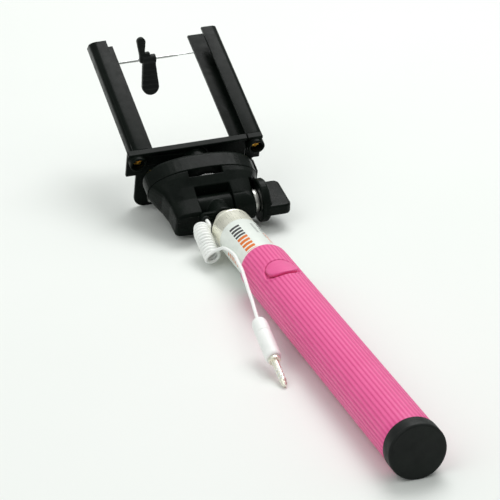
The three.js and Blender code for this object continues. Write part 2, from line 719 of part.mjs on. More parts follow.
place(stick, 'cable_gland', sleeve(1.05, 2.1, 291.9, 293.9, 16).translate(-10.4, 0, 1.6), blackRubber);
place(lead, 'cable_coil', tubeAlong(route(coilRoute), COIL_RADIUS, 12, 18), whiteRubber);
place(lead, 'cable_tail', tubeAlong(route(tailRoute), LEAD_RADIUS, 30, 8), whiteRubber);
place(plug, 'plug_body', plugBody(), whiteRubber);
const JACK_RADIUS = 1.75;
const jackPieces = [
  ['jack_sleeve', 28.1, 35.9, steel],
  ['jack_insulator_1', 36, 36.8, whiteRubber],
  ['jack_ring_1', 36.9, 38.6, steel],
  ['jack_insulator_2', 38.7, 39.5, whiteRubber],
  ['jack_ring_2', 39.6, 41.3, steel],
  ['jack_insulator_3', 41.4, 42.2, whiteRubber],
];
for (const [name, start, end, finish] of jackPieces) {
  const collar = name === 'jack_sleeve';
  const corners = collar
    ? [[0, start], [3, start], [3, start + 1.6], [JACK_RADIUS, start + 1.6], [JACK_RADIUS, end], [0, end]]
    : [[0, start], [JACK_RADIUS, start], [JACK_RADIUS, end], [0, end]];
  place(plug, name, turned(corners, 16), finish);
}
place(plug, 'jack_tip', turned([
  [0, 42.3], [JACK_RADIUS, 42.3], [JACK_RADIUS, 43.4], [1.1, 44.6], [1.55, 45.4], [0.7, 47], [0, 47.1],
], 16), steel);

export default selfieStick;
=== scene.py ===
"""Looks of a wired selfie stick lying closed on a table. Metres, +Z up; its cap is at the -Y end."""

import json
import math

import bmesh
import bpy
import numpy as np
from mathutils import Matrix, Vector


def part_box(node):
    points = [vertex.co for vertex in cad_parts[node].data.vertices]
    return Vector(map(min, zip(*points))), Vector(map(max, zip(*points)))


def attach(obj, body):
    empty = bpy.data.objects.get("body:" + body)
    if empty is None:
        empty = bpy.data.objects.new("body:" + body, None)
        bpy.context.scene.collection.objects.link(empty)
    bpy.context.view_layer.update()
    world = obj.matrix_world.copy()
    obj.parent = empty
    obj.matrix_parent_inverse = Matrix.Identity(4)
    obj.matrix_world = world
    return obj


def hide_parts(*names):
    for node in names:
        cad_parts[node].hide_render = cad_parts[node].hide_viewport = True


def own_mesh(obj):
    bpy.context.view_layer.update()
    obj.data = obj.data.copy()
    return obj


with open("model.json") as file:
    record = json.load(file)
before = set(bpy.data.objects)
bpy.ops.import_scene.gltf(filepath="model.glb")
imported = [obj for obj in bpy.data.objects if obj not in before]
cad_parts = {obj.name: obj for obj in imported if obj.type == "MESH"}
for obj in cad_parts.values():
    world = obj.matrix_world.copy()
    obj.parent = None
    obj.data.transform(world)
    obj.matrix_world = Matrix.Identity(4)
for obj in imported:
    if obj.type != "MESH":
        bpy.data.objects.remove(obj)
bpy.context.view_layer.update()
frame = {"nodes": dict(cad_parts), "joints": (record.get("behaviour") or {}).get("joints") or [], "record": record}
MM = 0.001


# ---------------------------------------------------------------- places, from the frame
def middle(node):
    low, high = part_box(node)
    return (low + high) / 2


def joint(name):
    return next(j for j in frame["joints"] if j["name"] == name)


AXIS = middle("outer_tube")                       # the stick's axis runs through this along Y
CAP_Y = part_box("end_cap")[0].y
HINGE = Vector(joint("head_tilt")["pos_m"])
HEAD_U = Vector(joint("clamp_swivel")["axis"])    # the head's own axis
HEAD_X = Vector((1, 0, 0))
HEAD_W = HEAD_X.cross(HEAD_U)                     # the head's up direction


def stick(x, y, z):
    """A point given in mm from the stick's axis and the cap's face."""
    return Vector((AXIS.x + x * MM, CAP_Y + y * MM, AXIS.z + z * MM))


# ---------------------------------------------------------------- camera
FOCAL = 195.0
AZIMUTH, ELEVATION = math.radians(-17.66), math.radians(22.51)
ROLL = math.radians(2.5)                          # the camera's turn about the stick's axis
CAP_DISTANCE = 1.2085                             # along the line of sight, in metres
CAP_ASIDE, CAP_ABOVE = 0.0752, -0.0904            # the cap's place in the view, from its middle


def build_camera():
    level = math.cos(ELEVATION)
    look = Vector((-math.sin(AZIMUTH) * level, math.cos(AZIMUTH) * level, -math.sin(ELEVATION)))
    right = look.cross(Vector((0, 0, 1))).normalized()
    up = right.cross(look)
    turn = Matrix.Rotation(ROLL, 3, "Y")
    look, right, up = turn @ look, turn @ right, turn @ up
    data = bpy.data.cameras.new("camera")
    data.lens = FOCAL
    data.sensor_width = 36
    camera = bpy.data.objects.new("camera", data)
    place = stick(0, 0, 0) - look * CAP_DISTANCE - right * CAP_ASIDE - up * CAP_ABOVE
    facing = Matrix((right, up, -look)).transposed().to_4x4()
    camera.matrix_world = Matrix.Translation(place) @ facing
    bpy.context.scene.collection.objects.link(camera)
    bpy.context.scene.camera = camera


build_camera()


# ---------------------------------------------------------------- materials
class Nodes:
    """A few short calls for building a node material."""

    def __init__(self, name):
        self.material = bpy.data.materials.new(name)
        self.material.use_nodes = True
        self.tree = self.material.node_tree
        self.shader = self.tree.nodes["Principled BSDF"]
        self.place = self.add("ShaderNodeTexCoord").outputs["Object"]

    def add(self, kind, **values):
        node = self.tree.nodes.new(kind)
        for key, value in values.items():
            if hasattr(node, key):
                setattr(node, key, value)
            else:
                node.inputs[key.replace("_", " ")].default_value = value
        return node

    def link(self, source, target):
        self.tree.links.new(source, target)

    def math(self, operation, *values):
        node = self.add("ShaderNodeMath", operation=operation)
        for socket, value in zip(node.inputs, values):
            if isinstance(value, (int, float)):
                socket.default_value = value
            else:
                self.link(value, socket)
        return node.outputs[0]

    def split(self):
        node = self.add("ShaderNodeSeparateXYZ")
        self.link(self.place, node.inputs[0])
        return node.outputs

    def noise(self, scale, detail=4, roughness=0.55, stretch=None):
        source = self.place
        if stretch:
            mapping = self.add("ShaderNodeMapping")
            mapping.inputs["Scale"].default_value = stretch
            self.link(source, mapping.inputs["Vector"])
            source = mapping.outputs[0]
        node = self.add("ShaderNodeTexNoise", Scale=scale, Detail=detail, Roughness=roughness)
        self.link(source, node.inputs["Vector"])
        return node.outputs["Fac"]

    def blend(self, factor, low, high, start=0.35, end=0.65):
        """A colour or value between low and high as factor goes from start to end."""
        ramp = self.add("ShaderNodeValToRGB")
        for element, place, colour in zip(ramp.color_ramp.elements, (start, end), (low, high)):
            element.position = place
            element.color = (*colour, 1) if isinstance(colour, tuple) else (colour, colour, colour, 1)
        self.link(factor, ramp.inputs[0])
        return ramp.outputs[0]

    def around_axis(self):
        """The angle about the stick's axis, from straight up towards +X."""
        x, _, z = self.split()
        return self.math("ARCTAN2", self.math("SUBTRACT", x, AXIS.x), self.math("SUBTRACT", z, AXIS.z))

    def band(self, value, low, high):
        """1 where value is between low and high, else 0."""
        above, below = self.math("GREATER_THAN", value, low), self.math("LESS_THAN", value, high)
        return self.math("MULTIPLY", above, below)

    def mix(self, low, high, factor):
        """One colour over another where factor is 1."""
        node = self.add("ShaderNodeMix", data_type="RGBA")
        for socket, value in ((node.inputs[6], low), (node.inputs[7], high)):
            if isinstance(value, tuple):
                socket.default_value = (*value, 1)
            else:
                self.link(value, socket)
        self.link(factor, node.inputs[0])
        return node.outputs[2]

    def bump(self, height, distance):
        node = self.add("ShaderNodeBump", Distance=distance, Strength=1.0)
        self.link(height, node.inputs["Height"])
        self.link(node.outputs[0], self.shader.inputs["Normal"])

    def set(self, **values):
        for key, value in values.items():
            socket = self.shader.inputs[key.replace("_", " ")]
            if isinstance(value, bpy.types.NodeSocket):
                self.link(value, socket)
            else:
                socket.default_value = value


def plastic(name, dark, light, rough, grain=1800, depth=0.00002, specular=0.5):
    """Moulded plastic or rubber, uneven in colour and gloss, with a fine grain."""
    n = Nodes(name)
    n.set(Base_Color=n.blend(n.noise(90), dark, light), Roughness=n.blend(n.noise(220), *rough),
          Specular_IOR_Level=specular)
    n.bump(n.noise(grain, 2), depth)
    return n.material


def metal(name, dark, light, rough, stretch=(1, 0.04, 1), grain=2600, share=1.0):
    """Metal with fine streaks, drawn out along the axis where stretch is small."""
    n = Nodes(name)
    streaks = n.noise(grain, 3, stretch=stretch)
    n.set(Metallic=share, Base_Color=n.blend(n.noise(120), dark, light), Roughness=n.blend(streaks, *rough))
    n.bump(streaks, 0.000004)
    return n.material


def pink(name, ribs):
    """Matt pink rubber with a fine mould grain, with painted highlight on the crests of any lengthwise ribs and
    painted shade in their grooves.
    """
    n = Nodes(name)
    mottle_and_rib_light = n.noise(60)
    if ribs:
        # painted light: the colour is paler on the rib crests and darker in the grooves, standing in for highlight
        # and shade
        rib_light_wave = n.math("COSINE", n.math("MULTIPLY", n.around_axis(), float(ribs)))
        crest = n.math("MULTIPLY_ADD", rib_light_wave, 0.5, 0.5)
        mottle_and_rib_light = n.math("ADD", n.math("MULTIPLY", mottle_and_rib_light, 0.3), n.math("MULTIPLY", crest, 0.7))
    n.set(Base_Color=n.blend(mottle_and_rib_light, (0.69, 0.054, 0.235), (0.83, 0.115, 0.34), 0.15, 0.85),
          Roughness=n.blend(n.noise(300), 0.46, 0.62), Sheen_Weight=0.12, Specular_IOR_Level=0.4)
    n.bump(n.noise(2600, 2), 0.00003)
    return n.material


def label_print():
    """Pale film with plain printed bars along the stick: charcoal, then orange, and small grey marks."""
    n = Nodes("label_print")
    y = n.math("MULTIPLY", n.math("SUBTRACT", n.split()[1], CAP_Y), 1 / MM)
    angle = n.math("MULTIPLY", n.around_axis(), 180 / math.pi)

    def bars(from_angle, to_angle, from_y, to_y, pitch, share):
        """A row of bars over a patch, in degrees round from the top and in mm from the cap's face."""
        ticks = n.math("LESS_THAN", n.math("FRACT", n.math("DIVIDE", y, pitch)), share)
        across = n.math("MULTIPLY", n.band(angle, from_angle, to_angle), n.band(y, from_y, to_y))
        return n.math("MULTIPLY", ticks, across)

    film = n.blend(n.noise(90), (0.76, 0.81, 0.76), (0.82, 0.86, 0.81))
    charcoal = n.math("MAXIMUM", bars(-44, -14, 245, 259, 3.6, 0.62), bars(36, 50, 249, 261, 2.6, 0.55))
    side_orange = n.math("MAXIMUM", bars(36, 50, 233, 248, 3.1, 0.55), bars(-100, -82, 232, 250, 3.1, 0.5))
    orange = n.math("MAXIMUM", bars(-44, -14, 226, 244, 4.3, 0.66), side_orange)
    grey = n.math("MAXIMUM", bars(16, 24, 244, 258, 1.5, 0.55), bars(31, 38, 238, 252, 1.5, 0.5))
    colour = n.mix(n.mix(n.mix(film, (0.72, 0.17, 0.02), orange), (0.035, 0.035, 0.04), charcoal),
                   (0.3, 0.31, 0.3), grey)
    n.set(Base_Color=colour, Roughness=n.blend(n.noise(220), 0.28, 0.4))
    n.bump(n.noise(700, 2), 0.00001)
    return n.material


def knurled_steel():
    """Plated steel for the knurled wheel, pale where a fine pitting noise is high and dark in its pits; the same
    noise sets the bump.
    """
    n = Nodes("knurled_steel")
    pits = n.noise(1500, 3, 0.7)
    n.set(Metallic=0.25, Base_Color=n.blend(pits, (0.2, 0.2, 0.2), (0.97, 0.98, 0.96), 0.4, 0.54),
          Roughness=n.blend(n.noise(500), 0.25, 0.5))
    n.bump(pits, 0.00012)
    return n.material


RIB_COUNT = 39
MATERIALS = {
    "soft_black": plastic("soft_black", (0.004, 0.0055, 0.005), (0.008, 0.0105, 0.009), (0.42, 0.6),
                          specular=0.2),
    "body_black": plastic("body_black", (0.0026, 0.0042, 0.0032), (0.0046, 0.0070, 0.0054), (0.24, 0.36),
                          2200, 0.000025, 0.06),
    "inner_grey": plastic("inner_grey", (0.03, 0.03, 0.03), (0.06, 0.06, 0.06), (0.45, 0.6)),
    "bright_steel": metal("bright_steel", (0.88, 0.87, 0.74), (0.97, 0.96, 0.84), (0.26, 0.42), share=0.66),
    "plain_steel": metal("plain_steel", (0.42, 0.42, 0.4), (0.55, 0.55, 0.52), (0.3, 0.45)),
    "brass": metal("brass", (0.72, 0.40, 0.06), (0.85, 0.52, 0.10), (0.25, 0.4), stretch=(1, 1, 1)),
    "label_film": label_print(),
    "lead_white": plastic("lead_white", (0.86, 0.88, 0.86), (0.93, 0.94, 0.92), (0.35, 0.5)),
    "circuit_film": plastic("circuit_film", (0.4, 0.2, 0.03), (0.5, 0.28, 0.05), (0.4, 0.6)),
    "grip_pink": pink("grip_pink", RIB_COUNT),
}
KNURLED = knurled_steel()
DRAWN_WIRE = metal("drawn_wire", (0.34, 0.35, 0.34), (0.66, 0.68, 0.67), (0.2, 0.36), (0.05, 1, 1), 900)
BUTTON_PINK = pink("button_pink", 0)
for part in frame["record"]["subparts"]:
    shown = frame["nodes"][part["node"]]
    shown.data.materials.clear()
    shown.data.materials.append(MATERIALS[part["material_slot"]])
SLOT_OF = {part["node"]: part["material_slot"] for part in frame["record"]["subparts"]}
BODY_OF = {node: body for body, nodes in frame["record"]["behaviour"]["bodies"].items() for node in nodes}


# ---------------------------------------------------------------- mesh helpers
def piece(name, mesh, body, slot, replaces, material=None):
    """Puts a finished mesh or curve on a body in place of some CAD nodes, with its slot's material."""
    thing = bpy.data.objects.new(name, mesh)
    bpy.context.scene.collection.objects.link(thing)
    mesh.materials.clear()
    mesh.materials.append(material or MATERIALS[slot])
    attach(thing, body)
    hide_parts(*replaces)
    return thing


def stand_in(name, mesh, node, material=None):
    """A piece that takes the place of one CAD node, on its body and with its slot."""
    return piece(name, mesh, BODY_OF[node], SLOT_OF[node], (node,), material)


def smooth_shaded(mesh, sharp_angle=35):
    mesh.shade_smooth()
    mesh.set_sharp_from_angle(angle=math.radians(sharp_angle))
    return mesh


def ring_mesh(name, rings, along=False):
    """Quads between rings of points; a ring of one point is a pole, and along joins the last to the first."""
    points, starts = [], []
    for ring in rings:
        starts.append(len(points))
        points.extend(ring)
    faces = []
    pairs = list(zip(range(len(rings)), range(1, len(rings))))
    if along:
        pairs.append((len(rings) - 1, 0))
    for a, b in pairs:
        count = max(len(rings[a]), len(rings[b]))
        for i in range(count):
            j = (i + 1) % count
            corners = [starts[ring] + k % len(rings[ring]) for ring, k in ((a, i), (a, j), (b, j), (b, i))]
            faces.append(tuple(dict.fromkeys(corners)))
    mesh = bpy.data.meshes.new(name)
    mesh.from_pydata([tuple(p) for p in points], [], faces)
    shape = bmesh.new()
    shape.from_mesh(mesh)
    bmesh.ops.recalc_face_normals(shape, faces=shape.faces)
    shape.to_mesh(mesh)
    shape.free()
    return mesh


def eased(corners, radius, closed):
    """A profile with its corners rounded."""
    steps = 3
    count = len(corners)
    result = []
    for i, corner in enumerate(corners):
        if not closed and i in (0, count - 1):
            result.append(corner)
            continue
        here, before, after = (np.array(corners[k % count], float) for k in (i, i - 1, i + 1))
        back, ahead = before - here, after - here
        reach = min(radius, 0.45 * np.linalg.norm(back), 0.45 * np.linalg.norm(ahead))
        start = here + back / np.linalg.norm(back) * reach
        end = here + ahead / np.linalg.norm(ahead) * reach
        for k in range(steps + 1):
            t = k / steps
            result.append(tuple(start * (1 - t) ** 2 + here * 2 * t * (1 - t) + end * t * t))
    return result


def turned(name, corners, origin, ahead=Vector((0, 1, 0)), sides=96, ease=0.2):
    """A solid turned about a line from [radius, along] corners in mm, its corners eased."""
    on_axis = corners[0][0] == 0 and corners[-1][0] == 0
    side = ahead.cross(Vector((0, 0, 1)))
    side = side.normalized() if side.length > 0.1 else Vector((1, 0, 0))
    over = side.cross(ahead)
    rings = []
    for radius, along in eased(corners, ease, not on_axis):
        base = origin + ahead * (along * MM)
        if radius < 1e-6:
            rings.append([base])
            continue
        angles = [i / sides * 2 * math.pi for i in range(sides)]
        rings.append([base + (side * math.cos(a) + over * math.sin(a)) * (radius * MM) for a in angles])
    return smooth_shaded(ring_mesh(name, rings, along=not on_axis))


def finished(data, *modifiers):
    """The mesh of some mesh or curve data, with some modifiers applied."""
    holder = bpy.data.objects.new("holder", data)
    bpy.context.scene.collection.objects.link(holder)
    for kind, values in modifiers:
        modifier = holder.modifiers.new(kind, kind)
        for key, value in values.items():
            setattr(modifier, key, value)
    done = bpy.data.meshes.new_from_object(holder.evaluated_get(bpy.context.evaluated_depsgraph_get()))
    bpy.data.objects.remove(holder)
    return done


def moulded(node, voxel, rounds):
    """A CAD node's shape with the soft edges of a moulding."""
    mesh = frame["nodes"][node].data.copy()
    mesh = finished(mesh, ("REMESH", {"mode": "VOXEL", "voxel_size": voxel * MM}),
                    ("SMOOTH", {"factor": 0.5, "iterations": rounds}))
    mesh.shade_smooth()
    return stand_in(f"{node}_shell", mesh, node)


def edged(node, width):
    """A CAD node's shape with its sharp edges rounded over."""
    mesh = frame["nodes"][node].data.copy()
    shape = bmesh.new()
    shape.from_mesh(mesh)
    bmesh.ops.remove_doubles(shape, verts=shape.verts, dist=1e-6)
    bmesh.ops.dissolve_limit(shape, angle_limit=math.radians(3), verts=shape.verts, edges=shape.edges)
    shape.to_mesh(mesh)
    shape.free()
    mesh = finished(mesh, ("BEVEL", {"width": width * MM, "segments": 3, "limit_method": "ANGLE",
                                     "angle_limit": math.radians(35)}))
    return stand_in(f"{node}_shell", smooth_shaded(mesh, 30), node)


# ---------------------------------------------------------------- handle, in mm
CAP_RADIUS, CAP_DEPTH = 14.0, 8.5
CAP_PLUG, CAP_BORE, CAP_FLOOR = 10.85, 9.2, 10
GRIP_RADIUS = 13.5
GRIP_BORE = 11.45
RIB_DEPTH = 0.26
COLUMNS_PER_RIB = 12
FINE_START, FINE_END, FINE_STEP = 178, 210, 0.25  # where the grip's mesh is fine, round the button
GROOVE_DEPTH = 1.6
BUTTON_X, BUTTON_Y = -0.7, 191.6
BUTTON_HALF_WIDTH, BUTTON_HALF_LENGTH, BUTTON_CORNER = 7.7, 8.8, 6.7
BUTTON_RISE = 0.9                                 # of the pad above the grip, towards the cap
BUTTON_UNDERSIDE = 12.75                          # its distance from the stick's axis


def extent(node):
    """A node's near end, far end and radius, in mm, for a piece on the stick's axis."""
    low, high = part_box(node)
    return (low.y - CAP_Y) / MM, (high.y - CAP_Y) / MM, (high.x - low.x) / 2 / MM


def from_button(x, y):
    """Distance in mm outside the button's outline, negative inside it."""
    across = abs(x - BUTTON_X) - (BUTTON_HALF_WIDTH - BUTTON_CORNER)
    along = abs(y - BUTTON_Y) - (BUTTON_HALF_LENGTH - BUTTON_CORNER)
    return math.hypot(max(across, 0), max(along, 0)) + min(max(across, along), 0) - BUTTON_CORNER


def step_up(value, low, high):
    """0 up to low, 1 from high, and smooth between."""
    t = min(max((value - low) / (high - low), 0), 1)
    return t * t * (3 - 2 * t)


def build_cap():
    """The cap, its rim a little proud of its face, and flat where it lies on the table."""
    _, end, _ = extent("end_cap")
    mesh = turned("end_cap_shell", [
        (0, 0.12), (12.2, 0.12), (12.9, 0), (13.5, 0.25), (CAP_RADIUS, 1.0), (CAP_RADIUS, CAP_DEPTH - 0.3),
        (CAP_RADIUS - 0.3, CAP_DEPTH), (CAP_PLUG, CAP_DEPTH), (CAP_PLUG, end), (CAP_BORE, end),
        (CAP_BORE, CAP_FLOOR), (0, CAP_FLOOR),
    ], stick(0, 0, 0), sides=144, ease=0.35)
    lowest = 0.00002                              # metres, just clear of the table
    for vertex in mesh.vertices:
        vertex.co.z = max(vertex.co.z, lowest)
    stand_in("end_cap_shell", mesh, "end_cap")


def build_grip():
    """The ribbed sleeve, with a groove and a low rim round the button."""
    start, end, _ = extent("grip_sleeve")
    rows = [*np.arange(start + 0.6, FINE_START, 6), *np.arange(FINE_START, FINE_END, FINE_STEP),
            *np.arange(FINE_END, end - 1, 3)]
    columns = RIB_COUNT * COLUMNS_PER_RIB
    rings = []

    def ring(y, height):
        points = []
        for i in range(columns):
            angle = i / columns * 2 * math.pi
            radius = height(angle, y)
            points.append(stick(radius * math.sin(angle), y, radius * math.cos(angle)))
        rings.append(points)

    def surface(angle, y):
        crest = abs(math.cos(angle * RIB_COUNT / 2)) ** 0.8
        ribs = RIB_DEPTH * (crest - 1) * step_up(min(y - start, end - y), 0.8, 2.5)
        radius = GRIP_RADIUS
        if math.cos(angle) > 0 and FINE_START < y < FINE_END:
            gap = from_button(GRIP_RADIUS * math.sin(angle), y)
            ribs *= step_up(gap, 1.6, 3.0)
            near_side = step_up(BUTTON_Y + 2 - y, -4, 6)
            radius += (0.03 + 0.24 * near_side) * math.exp(-((gap - 2.1) / 0.6) ** 2)
            groove = 0.5 + 1.0 * near_side
            radius -= GROOVE_DEPTH * (1 - step_up(gap, groove - 0.2, groove + 0.15))
        return radius + ribs

    def plain_rings(*places):
        for y, radius in places:
            ring(y, lambda angle, _: radius)

    plain_rings((start, GRIP_BORE), (start, GRIP_RADIUS - 0.5), (start + 0.25, GRIP_RADIUS - 0.15))
    for y in rows:
        ring(y, surface)
    plain_rings((end - 0.9, GRIP_RADIUS - 0.05), (end - 0.5, GRIP_RADIUS - 0.2),
                (end - 0.15, GRIP_RADIUS - 0.5), (end, GRIP_RADIUS - 0.9), (end, GRIP_BORE))
    mesh = ring_mesh("grip", rings, along=True)
    mesh.shade_smooth()
    stand_in("grip", mesh, "grip_sleeve")


def build_button():
    """A smooth pad, proud of the grip at the cap's end and level with it at the other."""
    count, rounds = 96, 30
    outline = []
    for i in range(count):
        angle = i / count * 2 * math.pi
        reach = 4.0                               # a first guess, which the rounds bring on to the outline
        for _ in range(rounds):
            reach -= from_button(BUTTON_X + reach * math.sin(angle), BUTTON_Y + reach * math.cos(angle))
        outline.append((reach * math.sin(angle), reach * math.cos(angle)))

    def point(x, y, radius):
        return stick(x, BUTTON_Y + y, math.sqrt(radius ** 2 - x * x))

    def top_radius(y):
        return GRIP_RADIUS + BUTTON_RISE * step_up(-y, -9, 7)

    def top_ring(share, drop):
        return [point(BUTTON_X + x * share, y * share, top_radius(y * share) - drop) for x, y in outline]

    def base_ring(share):
        return [point(BUTTON_X + x * share, y * share, BUTTON_UNDERSIDE) for x, y in outline]

    edge = 0.965
    rings = [[point(BUTTON_X, 0, top_radius(0))]]
    rings += [top_ring(share, 0) for share in (0.15, 0.3, 0.45, 0.6, 0.72, 0.82)]
    rings += [top_ring(0.88, 0.02), top_ring(0.93, 0.07), top_ring(0.955, 0.17), top_ring(edge, 0.34)]
    rings += [base_ring(share) for share in (edge, 0.8, 0.6, 0.4, 0.2)]
    rings += [[point(BUTTON_X, 0, BUTTON_UNDERSIDE)]]
    mesh = ring_mesh("button_pad", rings)
    mesh.shade_smooth()
    stand_in("button_pad", mesh, "shutter_button", BUTTON_PINK)


build_cap()
build_grip()
build_button()


# ---------------------------------------------------------------- telescope
TUBE_WALL, TUBE_LIP = 0.35, 0.5
BEAD = 0.16                                       # depth of the ring pressed behind a mouth
LABEL_FILM = 0.18


def build_tubes():
    """The tubes, each mouth but the last rolled in, with a ring pressed behind it, and the label."""
    nodes = ["outer_tube", "tube_2", "tube_3", "tube_4", "tube_5", "tube_6"]
    for node in nodes:
        start, end, radius = extent(node)
        inner = radius - TUBE_WALL
        if node == nodes[-1]:
            corners = [(inner, start), (radius, start), (radius, end), (inner, end)]
        else:
            corners = [
                (inner, start), (radius, start), (radius, end - 2.6), (radius - BEAD, end - 2.2),
                (radius - BEAD, end - 1.8), (radius, end - 1.4), (radius, end - 0.5), (radius - 0.4, end),
                (inner - TUBE_LIP, end), (inner - TUBE_LIP, end - 0.7), (inner, end - 1.4),
            ]
        stand_in(f"{node}_shell", turned(f"{node}_shell", corners, stick(0, 0, 0), ease=0.25), node)
    start, end, radius = extent("tube_label")
    inner = radius - LABEL_FILM
    corners = [(inner, start), (radius, start), (radius, end), (inner, end)]
    stand_in("label", turned("label", corners, stick(0, 0, 0), ease=0.05), "tube_label")


build_tubes()


# ---------------------------------------------------------------- head and clamp, in mm
WHEEL_START, WHEEL_THICKNESS, WHEEL_BORE = 13.3, 3.6, 3.2
WHEEL_EDGE = 0.9                                  # how far in from the rim the flat faces end
KNURL_DEPTH = 0.13
RIDGE_PITCH, RIDGE_HEIGHT = 2.9, 0.45             # on the tab's lower lobe
DIMPLE_PITCH, DIMPLE_DEPTH = 3.4, 0.35            # on its upper one
SPRING_RADIUS, SPRING_GAUGE = 0.0021, 0.00064     # metres
SPRING_TURNS = 14


def build_wheel():
    """The flat thumb wheel, its rim crossed by fine knurling."""
    low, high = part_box("thumb_wheel")
    radius = (high.x - low.x) / 2 / MM
    centre = HINGE + HEAD_U * (WHEEL_START * MM)
    columns, rows, teeth = 420, 12, 60
    rings = []

    def ring(along, height):
        points = []
        for i in range(columns):
            angle = i / columns * 2 * math.pi
            reach = height(angle) * MM
            points.append(centre + HEAD_U * (along * MM) + HEAD_X * (math.cos(angle) * reach)
                          + HEAD_W * (math.sin(angle) * reach))
        rings.append(points)

    def knurled(k, along):
        slant = along * 0.9 * 2.4
        rounding = 0.2 * abs(k / (rows / 2) - 1) ** 4

        def height(angle):
            cross = math.cos(angle * teeth + slant) + math.cos(angle * teeth - slant)
            return radius - 0.28 + KNURL_DEPTH * cross - rounding

        return height

    ring(0, lambda angle: WHEEL_BORE)
    ring(0, lambda angle: radius - WHEEL_EDGE)
    for k in range(rows + 1):
        along = 0.25 + (WHEEL_THICKNESS - 0.5) * k / rows
        ring(along, knurled(k, along))
    ring(WHEEL_THICKNESS, lambda angle: radius - WHEEL_EDGE)
    ring(WHEEL_THICKNESS, lambda angle: WHEEL_BORE)
    mesh = ring_mesh("wheel", rings, along=True)
    stand_in("wheel", smooth_shaded(mesh, 50), "thumb_wheel", KNURLED)


def across(node, ease=0.15, wall=None, material=None):
    """A round bar or sleeve along X in place of a CAD node."""
    low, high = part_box(node)
    centre = (low + high) / 2
    radius, half = (high.z - low.z) / 2 / MM, (high.x - low.x) / 2 / MM
    if wall:
        corners = [(radius - wall, -half), (radius, -half), (radius, half), (radius - wall, half)]
    else:
        corners = [(0, -half), (radius, -half), (radius, half), (0, half)]
    mesh = turned(f"{node}_shell", corners, centre, HEAD_X, 64, ease)
    stand_in(f"{node}_shell", mesh, node, material)


def build_springs():
    """The clamp's two springs, which the jaw squashes against their fixed ends."""
    steps = 20
    for node in ("upper_clamp_spring", "lower_clamp_spring"):
        low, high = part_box(node)
        centre = (low + high) / 2
        left, right = low.x + SPRING_GAUGE / 2, high.x - SPRING_GAUGE / 2
        points = []
        for i in range(SPRING_TURNS * steps + 1):
            angle = i / steps * 2 * math.pi
            x = left + (right - left) * i / (SPRING_TURNS * steps)
            y, z = centre.y + SPRING_RADIUS * math.cos(angle), centre.z + SPRING_RADIUS * math.sin(angle)
            points.append(Vector((x, y, z)))
        shown = stand_in(f"{node}_wire", finished(tube_curve(f"{node}_wire", points, SPRING_GAUGE)), node)
        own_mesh(shown)


def build_tab():
    """The tab, with finger ridges across the faces of its lower lobe and dimples in its upper one."""
    shape = moulded("wire_tab", 0.25, 6)
    low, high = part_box("wire_tab")
    centre, size = (low + high) / 2, high - low
    hub = Vector(joint("tab_turn")["pos_m"])
    for vertex in shape.data.vertices:
        fall = (hub.z - vertex.co.z) / MM         # mm below the hub
        away = vertex.co.y - centre.y
        if abs(away) < size.y / 2 * 0.4:
            continue
        face = step_up(abs(vertex.normal.y), 0.7, 0.95)
        if fall > 4.5:
            ridge = max(0.0, math.cos((fall - 5.9) / RIDGE_PITCH * 2 * math.pi)) ** 1.5
            shift = RIDGE_HEIGHT * ridge * step_up(fall, 4.5, 5.5) * (1 - step_up(fall, 19, 20.6))
        elif fall < -5:
            dimple = max(0.0, math.cos((fall + 7.2) / DIMPLE_PITCH * 2 * math.pi))
            shift = -DIMPLE_DEPTH * dimple * step_up(-fall, 5, 6)
        else:
            continue
        edge = 1 - step_up(abs(vertex.co.x - centre.x) / size.x, 0.5, 0.56)
        vertex.co.y += math.copysign(shift * MM * face * edge, away)


def build_head():
    build_tab()
    for node in ("head_body", "head_platform", "neck_barrel", "tilt_knob"):
        moulded(node, 0.28, 7)
    for node in ("clamp_base", "jaw_block"):
        moulded(node, 0.3, 5)
    for node in ("left_rail", "right_rail"):
        edged(node, 0.45)
    for node in ("left_rail_screw", "right_rail_screw", "left_rail_pad", "right_rail_pad", "hinge_nut"):
        edged(node, 0.15)
    build_wheel()
    across("knob_washer", wall=3.95)
    across("wire_rod", ease=0.1, material=DRAWN_WIRE)
    across("wire_tube", ease=0.1, wall=0.28, material=DRAWN_WIRE)
    build_springs()


# ---------------------------------------------------------------- lead
LEAD_DIAMETER = 0.0019
COIL_TURN_RADIUS = 0.0038
COIL_PITCH = 0.00215
STRAIGHT_STEP, STRAIGHT_STEPS = 0.0005, 6         # the lead's straight start, out of the gland
HANDLES = np.arange(0.001, 0.0095, 0.0005)        # lengths tried for a bridge's two handles
JACK_RADIUS = 1.75                                # mm
COIL_ROUTE = [
    (-13.3, 288.8, 14.8), (-15.2, 284.6, 14.3), (-16.5, 280, 13.2), (-16.7, 274, 11.2), (-16.6, 267, 8.1),
    (-16.1, 259.5, 4.85),
]
TAIL_ROUTE = [
    (-16.1, 258.5, 10.9), (-14.7, 258.1, 12.1), (-13.5, 255.4, 13.9), (-13.1, 251, 15.6), (-12.9, 246, 16.8),
    (-12.8, 240, 17.9), (-13.2, 231, 19), (-14.5, 222, 19.6), (-15.4, 213, 19.6), (-17.4, 201, 19.2),
    (-19.7, 188, 18.9), (-21.9, 175, 18.8), (-24, 164, 18.6), (-25.4, 155.4, 17.7),
]
PLUG_BACK, PLUG_TIP = (-25.5, 154.9, 17.5), (-26.4, 108.6, 0.4)


def table_point(point):
    """A route point: mm from the stick's axis, the cap's face and the table."""
    return Vector((AXIS.x + point[0] * MM, CAP_Y + point[1] * MM, point[2] * MM))


